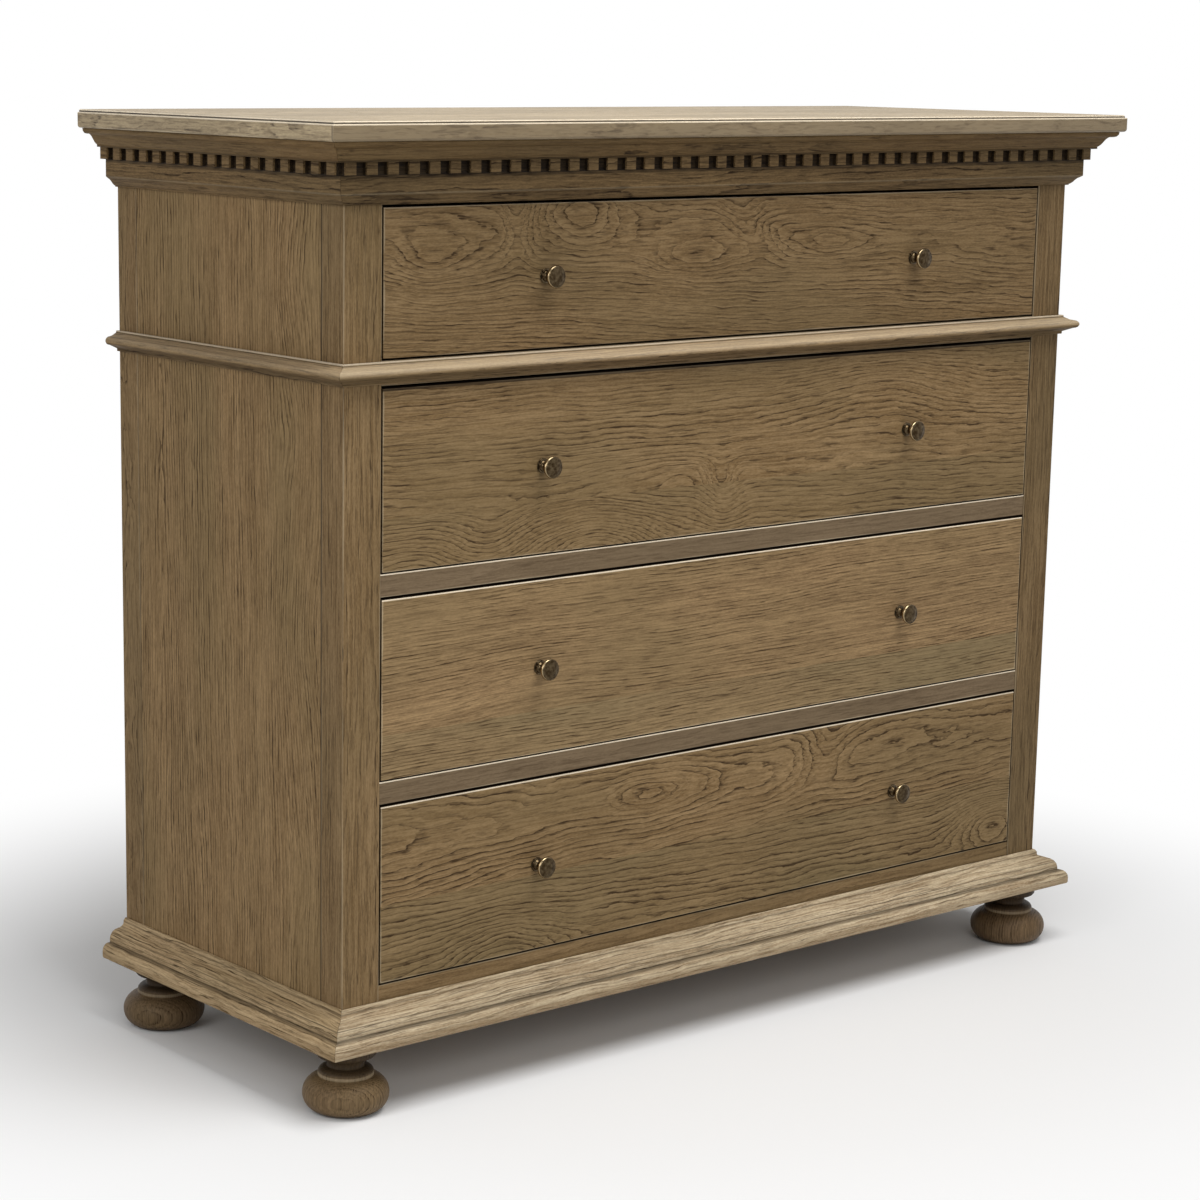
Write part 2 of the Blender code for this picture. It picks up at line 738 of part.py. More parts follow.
def drawer(number, bottom, height):
    """One drawer, carried by an empty at the middle of its front's lower edge."""
    name = f"drawer_{number}"
    holder = bpy.data.objects.new(name, None)
    holder.location = (0, case_front, bottom)
    pieces.objects.link(holder)

    side_top = height - side_drop
    side_bottom = seat - gap_below_drawer
    side_inner = drawer_half - side_thickness
    bottom_half = side_inner + box_groove
    bottom_front = front_thickness - box_groove
    bottom_top_face = box_bottom_height + box_bottom_thickness
    housed_half = side_inner + housing_depth
    back_rear = box_depth - back_set
    back_front = back_rear - box_back_thickness

    front = box(f"{name}_front", (-drawer_half, 0, 0), (drawer_half, front_thickness, height), oak, holder)
    bottom_low = (-bottom_half, bottom_front, box_bottom_height)
    box(f"{name}_bottom", bottom_low, (bottom_half, back_rear, bottom_top_face), oak_inside, holder)
    back_low = (-housed_half, back_front, bottom_top_face + seat)
    box(f"{name}_back", back_low, (housed_half, back_rear, side_top), oak_inside, holder)

    groove_low = (-bottom_half - seat, bottom_front - seat, box_bottom_height - seat)
    groove_high = (bottom_half + seat, box_depth + overrun, bottom_top_face + seat)
    groove = box(f"{name}_groove", groove_low, groove_high, parent=holder)
    housing_low = (-housed_half - seat, back_front - seat, bottom_top_face)
    housing_high = (housed_half + seat, back_rear + seat, side_top + overrun)
    housing = box(f"{name}_housing", housing_low, housing_high, parent=holder)

    side_mesh = prism_mesh(f"{name}_side", [side_outline(height, side_top, side_bottom)], side_thickness)
    socket_width = side_thickness + seat + overrun
    socket_middle = drawer_half - side_thickness - seat + socket_width / 2
    socket_mesh = prism_mesh(f"{name}_socket", socket_outlines(height, side_top), socket_width)
    hole_length = front_thickness + 2 * overrun
    stud_hole = rod_mesh(f"{name}_stud_hole", knob_stud_radius + seat, hole_length, knob_sides)
    for side, hand in (("left", -1), ("right", 1)):
        side_at = (hand * (drawer_half - side_thickness / 2), 0, 0)
        board = place(f"{name}_side_{side}", side_mesh.copy(), oak_inside, side_at, SIDE_TURN, holder)
        cut(board, groove)
        cut(board, housing)
        socket_at = (hand * socket_middle, 0, 0)
        cut(front, place(f"{name}_sockets_{side}", socket_mesh, None, socket_at, SIDE_TURN, holder))
        hole_at = (hand * knob_spread, front_thickness / 2, height / 2)
        cut(front, place(f"{name}_stud_hole_{side}", stud_hole, None, hole_at, KNOB_TURN, holder))
        knob_at = (hand * knob_spread, 0, height / 2)
        turned(f"{name}_knob_{side}", knob_profile, knob_sides, antique_brass, knob_at, KNOB_TURN, holder)
    cut(front, groove)


for number, (bottom, height) in enumerate(zip(drawer_bottoms, drawer_heights), 1):
    drawer(number, bottom, height)
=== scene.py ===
"""The looks of an oak tallboy: weathered boards, worn arrises, turned feet and antique brass knobs.

Metres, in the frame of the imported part: X along the front, Y to the back, Z up from the floor.
"""

import math

import bmesh
import bpy
from mathutils import Matrix, Vector


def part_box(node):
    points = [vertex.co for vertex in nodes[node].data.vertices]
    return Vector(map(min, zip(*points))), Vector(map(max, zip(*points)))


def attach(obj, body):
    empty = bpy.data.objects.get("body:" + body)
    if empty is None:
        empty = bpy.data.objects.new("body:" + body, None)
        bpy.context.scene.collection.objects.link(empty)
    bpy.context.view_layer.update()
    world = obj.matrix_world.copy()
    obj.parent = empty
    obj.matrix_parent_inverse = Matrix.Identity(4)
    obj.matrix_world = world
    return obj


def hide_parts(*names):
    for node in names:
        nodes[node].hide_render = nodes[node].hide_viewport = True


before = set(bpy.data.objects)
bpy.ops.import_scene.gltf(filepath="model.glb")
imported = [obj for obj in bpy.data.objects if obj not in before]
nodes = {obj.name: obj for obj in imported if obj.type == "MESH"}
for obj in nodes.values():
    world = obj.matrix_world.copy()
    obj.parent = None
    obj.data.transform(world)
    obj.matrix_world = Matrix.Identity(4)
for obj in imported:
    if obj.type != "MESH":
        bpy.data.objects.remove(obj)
for name in ("Cube", "Light", "Camera"):
    if name in bpy.data.objects:
        bpy.data.objects.remove(bpy.data.objects[name])
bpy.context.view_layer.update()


# The room: a pale floor, a white surround and soft lamps, seen from the left of the front
# at a little above the middle of the case. Nothing here belongs to the chest.

view_turn = math.radians(39.055)
view_rise = math.radians(11.443)
view_roll = math.radians(0.743)
view_distance = 3.5437
view_target = Vector((-0.1610, 0.0303, 0.4293))

level_reach = math.cos(view_rise)
towards_camera = Vector((-math.sin(view_turn) * level_reach, -math.cos(view_turn) * level_reach,
                         math.sin(view_rise)))
right = Vector((math.cos(view_turn), -math.sin(view_turn), 0))
up = towards_camera.cross(right)
camera_data = bpy.data.cameras.new("camera")
camera_data.lens = 90.045
camera_data.sensor_width = 36
camera_data.shift_x = 0.0833
camera_data.shift_y = 0.0417
camera = bpy.data.objects.new("camera", camera_data)
axes = Matrix((right * math.cos(view_roll) + up * math.sin(view_roll),
               up * math.cos(view_roll) - right * math.sin(view_roll), towards_camera)).transposed()
camera.matrix_world = Matrix.Translation(view_target + towards_camera * view_distance) @ axes.to_4x4()
bpy.context.scene.collection.objects.link(camera)
bpy.context.scene.camera = camera
bpy.context.scene.view_settings.view_transform = "Standard"


def lamp(name, at, aim, size, watts):
    """A square soft lamp that points at a place on the chest."""
    data = bpy.data.lights.new(name, "AREA")
    data.size = size
    data.energy = watts
    obj = bpy.data.objects.new(name, data)
    obj.location = at
    obj.rotation_euler = (Vector(aim) - Vector(at)).to_track_quat("-Z", "Y").to_euler()
    bpy.context.scene.collection.objects.link(obj)


lamp("overhead", at=(0.0, -1.2, 3.2), aim=(0, 0, 0.6), size=1.8, watts=72)
lamp("front_left", at=(-1.6, -3.4, 1.9), aim=(0, 0, 0.5), size=1.6, watts=30)
lamp("left", at=(-3.2, -0.6, 2.0), aim=(-0.3, 0, 0.5), size=1.6, watts=27)


class Shade:
    """A value, vector or colour that a finish works out over the surface, with arithmetic on it."""

    def __init__(self, tree, socket=None):
        self.tree = tree
        self.socket = socket

    def node(self, kind, settings, inputs, output=0):
        made = self.tree.nodes.new(kind)
        for key, value in settings.items():
            setattr(made, key, value)
        for key, value in inputs.items():
            if isinstance(value, Shade):
                self.tree.links.new(value.socket, made.inputs[key])
            else:
                made.inputs[key].default_value = value
        return Shade(self.tree, made.outputs[output])

    def feeds(self, node_name, socket_name):
        self.tree.links.new(self.socket, self.tree.nodes[node_name].inputs[socket_name])

    def maths(self, operation, *values):
        return self.node("ShaderNodeMath", {"operation": operation}, dict(enumerate(values)))

    def __add__(self, other):
        return self.maths("ADD", self, other)

    def __sub__(self, other):
        return self.maths("SUBTRACT", self, other)

    def __rsub__(self, other):
        return self.maths("SUBTRACT", other, self)

    def __mul__(self, other):
        return self.maths("MULTIPLY", self, other)

    def __truediv__(self, other):
        return self.maths("DIVIDE", self, other)

    def __rtruediv__(self, other):
        return self.maths("DIVIDE", other, self)

    __radd__ = __add__
    __rmul__ = __mul__

    def least(self, other):
        return self.maths("MINIMUM", self, other)

    def most(self, other):
        return self.maths("MAXIMUM", self, other)

    def size(self):
        return self.maths("ABSOLUTE", self)

    def under(self, limit):
        return self.maths("LESS_THAN", self, limit)

    def ramp(self, low, high):
        """0 at low, 1 at high and smooth between; low may be the larger."""
        inputs = {"Value": self, "From Min": low, "From Max": high}
        return self.node("ShaderNodeMapRange", {"interpolation_type": "SMOOTHSTEP"}, inputs)

    def mix(self, first, second):
        """The first colour where this is 0 and the second where it is 1."""
        return self.node("ShaderNodeMix", {"data_type": "RGBA"}, {0: self, 6: first, 7: second}, 2)

    def noise(self, scale, shift, detail=1.0, output=0):
        """Noise on this vector, drawn out by a scale per metre along each axis.

        It is turned after that, so that the cells of the noise don't line up along the grain.
        """
        inputs = {"Vector": self, "Location": shift, "Rotation": (0.5, 0.7, 0.4), "Scale": scale}
        placed = self.node("ShaderNodeMapping", {}, inputs)
        return self.node("ShaderNodeTexNoise", {}, {"Vector": placed, "Scale": 1.0, "Detail": detail}, output)

    def part(self, axis):
        return self.node("ShaderNodeSeparateXYZ", {}, {0: self}, axis)

    def joined(self, *values):
        return self.node("ShaderNodeCombineXYZ", {}, dict(enumerate(values)))


def background_rays(start):
    """1 for a ray that shows the plain background: seen straight, in a gloss or through glass."""
    straight, gloss, glass = (start.node("ShaderNodeLightPath", {}, {}, f"Is {kind} Ray")
                              for kind in ("Camera", "Glossy", "Transmission"))
    return straight.most(gloss).most(glass)


pure_white = (1, 1, 1, 1)
room_light = 0.28
surround = bpy.data.worlds.new("surround")
bpy.context.scene.world = surround
surround.use_nodes = True
sky = Shade(surround.node_tree)
plain = sky.node("ShaderNodeBackground", {}, {"Color": pure_white, "Strength": room_light})
white = sky.node("ShaderNodeBackground", {}, {"Color": pure_white, "Strength": 1})
backdrop = sky.node("ShaderNodeMixShader", {}, {0: background_rays(sky), 1: plain, 2: white})
backdrop.feeds("World Output", "Surface")

floor_reach = 6
floor_grey = (0.86, 0.86, 0.86, 1)
fade_starts, fade_ends = 0.55, 1.25
floor_mesh = bpy.data.meshes.new("floor")
corners = [(x * floor_reach, y * floor_reach, 0) for x, y in ((-1, -1), (1, -1), (1, 1), (-1, 1))]
floor_mesh.from_pydata(corners, [], [(0, 1, 2, 3)])
floor = bpy.data.objects.new("floor", floor_mesh)
floor_paint = bpy.data.materials.new("floor")
floor_paint.use_nodes = True
matt = floor_paint.node_tree.nodes["Principled BSDF"]
matt.inputs["Roughness"].default_value = 0.8
matt.inputs["Base Color"].default_value = floor_grey
ground = Shade(floor_paint.node_tree)
ground_place = ground.node("ShaderNodeTexCoord", {}, {}, "Object")
far_off = ground.node("ShaderNodeVectorMath", {"operation": "LENGTH"}, {0: ground_place}, "Value")
faded = far_off.ramp(fade_starts, fade_ends) * background_rays(ground)
glow = ground.node("ShaderNodeEmission", {}, {"Color": pure_white, "Strength": 1})
painted = Shade(floor_paint.node_tree, matt.outputs["BSDF"])
floor_mix = ground.node("ShaderNodeMixShader", {}, {0: faded, 1: painted, 2: glow})
floor_mix.feeds("Material Output", "Surface")
floor_mesh.materials.append(floor_paint)
bpy.context.scene.collection.objects.link(floor)


# Feet: four bun feet turned from oak blanks, their grain upright, darker than the case and nearly
# black where the neck meets the base, which is painted shade under the base. The three feet other than
# the front left one are darker still, also painted shade. Each has a spigot glued into the bottom board.


def tint(red, green, blue):
    """A colour given in the 0 to 255 steps of a paint chart, as linear light."""
    return (*(((step / 255 + 0.055) / 1.055) ** 2.4 for step in (red, green, blue)), 1)


def pick(axis):
    return "xyz".index(axis)


oak_light = tint(152, 126, 90)
oak_body = tint(112, 88, 56)
oak_olive = tint(112, 96, 66)
oak_pore = tint(56, 40, 23)
oak_rubbed = tint(196, 180, 150)
# A near black for dark joints and, in most marks, for painted shade in quirks, notches, hollows and under
# overhangs.
oak_grime_and_shade = tint(30, 21, 13)


def growth(along, across, depth, heart, lean, taper, swirls):
    """How far out in the tree each place lies, and how squarely the face cuts the rings there.

    The heart line leans past the board, and taper brings it nearer along the grain. A swirl is (along,
    across, long, wide, rise, skew): a knot or a burr that lifted the rings.
    """
    sideways, inward = across - heart[0] - along * lean, depth - heart[1]
    squared = sideways * sideways + inward * inward
    radius = squared.maths("SQRT", squared)
    squarely = sideways.size() / radius
    radius = radius + along * taper
    for swirl_along, swirl_across, long, wide, rise, skew in swirls:
        ahead = along - swirl_along
        aside = (across - swirl_across - ahead * skew) / wide
        falling = ahead * ahead / (-long * long) - aside * aside
        radius = radius + falling.maths("EXPONENT", falling) * rise
    return radius, squarely


# How many cells the noises of the wood have in a metre along, across and through a board.
cells = {"sway": (3.0, 9.0, 9.0), "patches": (7.0, 26.0, 26.0), "waver": (14.0, 34.0, 34.0),
         "jagged": (40.0, 110.0, 110.0), "ragged": (90.0, 300.0, 300.0), "bands": (5.0, 70.0, 60.0),
         "fibres": (9.0, 480.0, 480.0), "fine": (32.0, 620.0, 620.0), "dashes": (50.0, 420.0, 420.0),
         "grit": (240.0, 700.0, 700.0)}


def oak(name, axes, middle, seed, heart=(0.01, 0.06), lean=0.0, taper=0.01, swirls=(), lower=None,
        ring=0.0044, wander=0.008, waver=0.010, jagged=0.0015, figure=0.8, grain=1.0,
        body=oak_body, light=oak_light, cloud=oak_olive, tone=1.0, box=None, rub=0.5,
        marks=(), lipping=None, sheen=0.62, gloss=0.12):
    """Weathered oak: growth rings that show as dark open lines, pores and streaks that follow them.

    axes says which way the grain, the width and the thickness run, such as "xzy", and heart is how far the
    middle of the tree lies from the middle of the board, across it and behind it. ring is the width of one
    year; wander, waver and jagged are how far the rings stray, from slowly to quickly; figure is how dark
    the rings are and grain how dark the pores. body, light and cloud are the wood's own colours and tone
    scales them all. lower is a second board glued under the first: how far down it starts, and its own
    heart, lean, taper, swirls and cloud. box is the board's own low and high corners, whose arrises are
    rubbed by rub, and lipping a strip of that width round the front and sides. marks are (spans, softness,
    colour, strength) for a place that is rubbed, grimy, or painted with shade or highlight, a span being
    (axis, low, high).
    """
    material = bpy.data.materials.new(name)
    material.use_nodes = True
    start = Shade(material.node_tree)
    place = start.node("ShaderNodeTexCoord", {}, {}, "Object")
    parts = [place.part(axis) for axis in range(3)]
    along, across, depth = (parts[pick(axis)] - middle[pick(axis)] for axis in axes)
    side_strip, front_strip, lower_board = 2.1, 1.7, 2.3
    other_wood, joint = 0.0, None
    if lipping:
        side = (parts[0] - box[0].x).least(box[1].x - parts[0])
        front = parts[1] - box[0].y
        outer = side.least(front)
        on_lip = outer.under(lipping)
        on_side = on_lip * side.under(front)
        other_wood = on_side * side_strip + on_lip * front_strip
        along, across = along + on_side * (across - along), across + on_side * (along - across)
        joint = ((side - front).size() + (1 - on_lip)).least((outer - lipping).size())
    if lower:
        below = across.under(lower["below"])
        other_wood = below * lower_board
    wood = start.joined(along + other_wood, across, depth)
    shift = (seed * 3.7, seed * 1.9, seed * 5.3)

    slow = wood.noise(cells["sway"], shift, output="Color")
    sway, lift, cloudy = (slow.part(axis) - 0.5 for axis in range(3))
    bent = (along, across + sway * (2 * wander), depth + lift * (2 * wander))
    radius, squarely = growth(*bent, heart, lean, taper, swirls)
    if lower:
        under, under_squarely = growth(*bent, lower["heart"], lower["lean"], lower["taper"], lower["swirls"])
        radius = radius + below * (under - radius)
        squarely = squarely + below * (under_squarely - squarely)
        cloud = below.mix(cloud, lower["cloud"])
    radius = radius + (wood.noise(cells["waver"], shift, 2.0) - 0.5) * waver
    radius = radius + (wood.noise(cells["jagged"], shift) - 0.5) * jagged
    turns = radius / ring + (wood.noise(cells["ragged"], shift) - 0.5) * 0.35
    turn, count = turns.maths("FRACT", turns), turns.maths("FLOOR", turns)
    year = start.node("ShaderNodeTexWhiteNoise", {"noise_dimensions": "1D"}, {"W": count})

    bands = start.joined(along + other_wood, radius, across * 0.3).noise(cells["bands"], shift)
    flow = start.joined(along + other_wood, radius * 0.8, (across - depth) * 0.7)
    fibres = flow.noise(cells["fibres"], shift, 2.0)
    fine = flow.noise(cells["fine"], shift)
    dashes = wood.noise(cells["dashes"], shift)
    grit = wood.noise(cells["grit"], shift)
    patches = wood.noise(cells["patches"], shift)
    early = 1 - turn
    halo = early * early
    strength = (year * 0.9 + 0.45) * (patches.ramp(0.28, 0.58) * 0.65 + 0.35) * figure
    lines = early.maths("POWER", early, 5 / (squarely * 0.75 + 0.25)) * turn.ramp(0.0, 0.06) * strength
    lines = lines * (dashes.ramp(0.34, 0.58) * 0.5 + 0.5)
    pores = fine.ramp(0.50, 0.68) * (halo * strength * 0.5 + 0.26) + dashes.ramp(0.56, 0.72) * 0.16
    dark = (lines + halo * strength * 0.16 + pores * grain).least(0.95)

    streaks = fibres.ramp(0.34, 0.66) * 0.5 + (grit - 0.5) * 0.9 + turn * 0.10 + (bands - 0.5) * 0.7 + 0.17
    sheet = (cloudy.ramp(-0.15, 0.20) * 0.4).mix(streaks.mix(body, light), cloud)
    if lower:
        sheet = (below * 0.25).mix(sheet, lower["cloud"])
    sheet = dark.mix(sheet, oak_pore)
    if joint is not None:
        sheet = (joint.ramp(0.0006, 0.0002) * 0.7).mix(sheet, oak_grime_and_shade)
    if box is not None:
        nears = [(parts[axis] - box[0][axis]).least(box[1][axis] - parts[axis]) for axis in range(3)]
        arris = nears[0].most(nears[1]).least(nears[0].least(nears[1]).most(nears[2]))
        rough_edge = arris + (fibres - 0.5) * 0.0018 + (patches - 0.5) * 0.0040
        sheet = (rough_edge.ramp(0.0014, 0.0003) * rub).mix(sheet, oak_rubbed)
    for spans, softness, colour, cover in marks:
        for axis, low, high in spans:
            away = (parts[pick(axis)] - (low + high) / 2).size() + (fibres - 0.5) * softness
            half = (high - low) / 2
            cover = away.ramp(half + softness, half - softness) * cover
        sheet = (cover * (streaks * 0.35 + 0.75)).mix(sheet, colour)

    toned = start.node("ShaderNodeVectorMath", {"operation": "SCALE"}, {0: sheet, "Scale": tone})
    toned.feeds("Principled BSDF", "Base Color")
    (dark * 0.2 + (sheen - 0.1) + fibres * 0.15).feeds("Principled BSDF", "Roughness")
    height = (fibres - 0.5) * 0.3 - dark
    bump = start.node("ShaderNodeBump", {}, {"Strength": 0.35, "Distance": 0.0004, "Height": height})
    bump.feeds("Principled BSDF", "Normal")
    material.node_tree.nodes["Principled BSDF"].inputs["Specular IOR Level"].default_value = gloss
    return material


same_place = 0.00001  # points nearer than this are one


def rank(place):
    """A number for each place, to sort points and faces by, as a spin leaves them in no fixed order."""
    return place.x + place.y * 31.7 + place.z * 1009.3


def lathe(name, profile, sides, axis="Z"):
    """A closed turned mesh from its profile, radius and height, top to bottom."""
    bm = bmesh.new()
    verts = [bm.verts.new((radius, 0, height)) for radius, height in profile]
    edges = [bm.edges.new(pair) for pair in zip(verts, verts[1:])]
    bmesh.ops.spin(bm, geom=verts + edges, cent=(0, 0, 0), axis=(0, 0, 1), angle=2 * math.pi, steps=sides,
                   use_duplicate=False)
    bmesh.ops.remove_doubles(bm, verts=bm.verts, dist=same_place)
    bmesh.ops.recalc_face_normals(bm, faces=bm.faces)
    bm.verts.sort(key=lambda vertex: rank(vertex.co))
    bm.faces.sort(key=lambda face: rank(face.calc_center_median()))
    for face in bm.faces:
        face.smooth = True
    if axis != "Z":
        tip = math.pi / 2 if axis == "-Y" else -math.pi / 2
        bmesh.ops.rotate(bm, verts=bm.verts, cent=(0, 0, 0), matrix=Matrix.Rotation(tip, 3, "X"))
    mesh = bpy.data.meshes.new(name)
    bm.to_mesh(mesh)
    bm.free()
    return mesh


def sweep(centre, reach, start, end, steps):
    """Points along an elliptical arc; angles in quarter turns."""
    angles = [(start + (end - start) * step / steps) * math.pi / 2 for step in range(steps + 1)]
    return [(centre[0] + reach[0] * math.cos(angle), centre[1] + reach[1] * math.sin(angle)) for angle in angles]


def piece(name, mesh, material):
    """An object at the origin with one finish, its place being in its mesh."""
    obj = bpy.data.objects.new(name, mesh)
    mesh.materials.clear()
    mesh.materials.append(material)
    bpy.context.scene.collection.objects.link(obj)
    return obj


def band(span, softness, colour, strength):
    """A mark that runs round a piece between two heights."""
    return [("z", *span)], softness, colour, strength


foot_profile = [(0, 0.090), (0.0102, 0.090), (0.011, 0.0892), (0.011, 0.076), (0.0324, 0.076), (0.033, 0.0754)]
foot_profile += [(0.033, 0.0638), (0.0312, 0.0616)]
foot_profile += sweep((0.0312, 0.0528), (0.0107, 0.0088), 1, 2, 10)[1:]
foot_profile += [(0.0205, 0.0498)]
foot_profile += sweep((0.0205, 0.0430), (0.0099, 0.0068), 1, 0.08, 9)[1:]
foot_profile += sweep((0.0298, 0.0411), (0.0008, 0.0019), 0.8, -0.8, 5)
foot_profile += sweep((0.028, 0.0196), (0.0192, 0.0196), 0.90, -1, 30) + [(0, 0)]
foot_turned = lathe("foot", foot_profile, 96)

foot_brown = tint(96, 76, 54)
foot_light = tint(132, 108, 80)
foot_neck, foot_ring, foot_sole = (0.0440, 0.0760), (0.0400, 0.0432), (0.0, 0.0050)
# The upper part of each foot, under the base, is darkened with painted shade; the sole is darkened too.
foot_marks = [band(foot_neck, 0.003, oak_grime_and_shade, 0.8), band(foot_ring, 0.0006, oak_rubbed, 0.3),
              band(foot_sole, 0.003, oak_grime_and_shade, 0.7)]
for foot_name, seed, heart in (("foot_front_left", 3, (0.14, 0.12)), ("foot_front_right", 5, (0.16, -0.10)),
                               ("foot_rear_left", 8, (0.12, 0.16)), ("foot_rear_right", 11, (-0.14, 0.13))):
    low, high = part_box(foot_name)
    x, y = (low.x + high.x) / 2, (low.y + high.y) / 2
    mesh = foot_turned.copy()
    mesh.transform(Matrix.Translation((x, y, 0)))
    # The three feet other than the front left one are toned darker: painted shade.
    finish = oak(foot_name + "_oak", "zyx", (x, y, 0.02), seed, heart=heart, ring=0.0036, taper=0.02, wander=0.004,
                 waver=0.003, figure=0.8, body=foot_brown, light=foot_light, marks=foot_marks, sheen=0.5,
                 tone=0.95 if foot_name == "foot_front_left" else 0.76)
    foot = piece(foot_name.replace("foot", "bun_foot"), mesh, finish)
    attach(foot, "case")
    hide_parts(foot_name)


# Base: the bottom board lies on the feet, and a moulding in three mitred lengths hides its edge.
# The moulding's torus and ovolo are pale along the front, partly wear and partly a painted highlight;
# painted shade darkens the quirk and the fillet, and dark lines run along the ovolo's edges.

shallow_edge = math.radians(38)  # an edge that turns less than this is part of a curve


def planed():
    """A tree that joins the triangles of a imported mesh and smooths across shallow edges."""
    if "planed" in bpy.data.node_groups:
        return bpy.data.node_groups["planed"]
    tree = bpy.data.node_groups.new("planed", "GeometryNodeTree")
    tree.is_modifier = True
    tree.interface.new_socket("Geometry", in_out="INPUT", socket_type="NodeSocketGeometry")
    tree.interface.new_socket("Geometry", in_out="OUTPUT", socket_type="NodeSocketGeometry")
    entry = tree.nodes.new("NodeGroupInput")
    leave = tree.nodes.new("NodeGroupOutput")
    strip = tree.nodes.new("GeometryNodeRemoveAttribute")
    strip.inputs["Name"].default_value = "custom_normal"
    weld = tree.nodes.new("GeometryNodeMergeByDistance")
    weld.inputs["Distance"].default_value = same_place
    faces = tree.nodes.new("GeometryNodeSetShadeSmooth")
    faces.domain = "FACE"
    faces.inputs["Shade Smooth"].default_value = True
    edges = tree.nodes.new("GeometryNodeSetShadeSmooth")
    edges.domain = "EDGE"
    angle = tree.nodes.new("GeometryNodeInputMeshEdgeAngle")
    shallow = tree.nodes.new("FunctionNodeCompare")
    shallow.operation = "LESS_THAN"
    shallow.inputs[1].default_value = shallow_edge
    tree.links.new(entry.outputs[0], strip.inputs["Geometry"])
    tree.links.new(strip.outputs["Geometry"], weld.inputs["Geometry"])
    tree.links.new(weld.outputs["Geometry"], faces.inputs["Geometry"])
    tree.links.new(faces.outputs["Geometry"], edges.inputs["Geometry"])
    tree.links.new(angle.outputs["Unsigned Angle"], shallow.inputs[0])
    tree.links.new(shallow.outputs[0], edges.inputs["Shade Smooth"])
    tree.links.new(edges.outputs["Geometry"], leave.inputs[0])
    return tree


def dressed(node_name, material, arris=0.0006):
    """Give a packed board its finish, and a planed arris that catches the light."""
    obj = nodes[node_name]
    for slot in obj.material_slots:
        slot.material = material
    clean = obj.modifiers.new("clean", "NODES")
    clean.node_group = planed()
    if arris:
        bevel = obj.modifiers.new("arris", "BEVEL")
        bevel.width = arris
        bevel.segments = 2
        bevel.limit_method = "ANGLE"
        bevel.angle_limit = shallow_edge
    weighted = obj.modifiers.new("flat_faces", "WEIGHTED_NORMAL")
    weighted.keep_sharp = True


def centre(node_name):
    low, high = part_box(node_name)
    return (low + high) / 2


inside_oak = tint(146, 120, 88)
inside_light = tint(184, 158, 124)
dressed("bottom_board", oak("bottom_board_oak", "xyz", centre("bottom_board"), 2, tone=0.9, figure=0.7))
base_toe, base_quirk, ovolo_low, ovolo_high, base_fillet = (
    (0.0750, 0.0850), (0.0936, 0.0956), (0.0990, 0.0998), (0.1042, 0.1052), (0.1150, 0.1162))
# Painted shade in the quirk and at the fillet, dark lines at the ovolo's edges, and the toe darker towards its
# bottom.
base_marks = [band(base_quirk, 0.0012, oak_grime_and_shade, 0.80), band(base_fillet, 0.0008, oak_grime_and_shade, 0.5),
              band(ovolo_high, 0.0003, oak_grime_and_shade, 0.6), band(ovolo_low, 0.0003, oak_grime_and_shade, 0.5),
              band(base_toe, 0.0020, oak_body, 0.35)]
# The front length's paler colours are partly wear and partly a painted highlight.
pale_body = tint(152, 129, 99)
pale_light = tint(216, 199, 168)
base_looks = dict(heart=(0.05, 0.05), taper=0.012, marks=base_marks)
dressed("base_moulding_front", oak("base_front_oak", "xzy", centre("base_moulding_front"), 4, body=pale_body,
                                   light=pale_light, figure=0.6, cloud=tint(140, 122, 94), tone=0.97,
                                   **base_looks))
for hand, seed in (("left", 6), ("right", 7)):
    dressed(f"base_moulding_{hand}", oak(f"base_{hand}_oak", "yzx", centre(f"base_moulding_{hand}"), seed,
                                         body=tint(152, 128, 95), light=tint(196, 172, 134), grain=1.2,
                                         **base_looks))


# Case: four posts, with side panels tongued into them flush, so that only a fine line shows.
# The grain stands upright: plain on the front posts, curly on the rear ones, and on the panels
# straight and close in the middle, with a wide cathedral behind and knots at the front edge.

panel_swirls = [(-0.04, -0.175, 0.10, 0.050, 0.022, 0.0), (0.33, -0.120, 0.06, 0.030, 0.014, 0.0),
                (-0.30, -0.140, 0.07, 0.030, -0.012, 0.0), (0.16, -0.125, 0.05, 0.026, -0.010, 0.0)]
panel_cloud = tint(118, 101, 68)
# Painted shade for faces that look into the gaps round the drawers.
painted_gap_shade = tint(40, 28, 18)
case_front = -0.18975


def line(axis, level, half, colour, strength, softness=0.0002, also=()):
    """A mark to either side of one level along an axis, kept to the other spans if there are any."""
    return [(axis, level - half, level + half), *also], softness, colour, strength


def shaded_in_gap(axis, level, behind):
    """Painted shade on a face at one level that looks into a gap: a dark band for the shade in there."""
    return line(axis, level, 0.0010, painted_gap_shade, 1.5, 0.0004, [behind])


